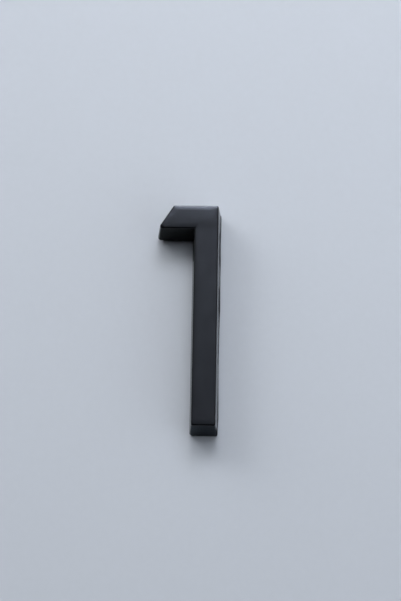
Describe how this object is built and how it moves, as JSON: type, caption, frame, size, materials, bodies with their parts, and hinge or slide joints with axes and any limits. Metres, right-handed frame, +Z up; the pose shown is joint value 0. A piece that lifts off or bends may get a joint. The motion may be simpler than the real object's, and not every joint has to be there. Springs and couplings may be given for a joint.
{
  "type": "self-adhesive door number",
  "caption": "Moulded figure one with a slanted flag, drafted sides and a cored back, on a die-cut foam tape that sticks it to a door or wall.",
  "frame": {"origin": "on the wall, at the back of the foam tape, behind the middle of the stem's width and at half the figure's height", "axes": "+Z up the figure, +X to the right as it is read, +Y into the wall, so the front faces -Y"},
  "size_m": [0.0139, 0.008, 0.05],
  "materials": {
    "body": "black, semi-gloss",
    "tape": "black foam, matt"
  },
  "bodies": {
    "root": {"digit_body": "body", "foam_tape": "tape"}
  },
  "joints": []
}
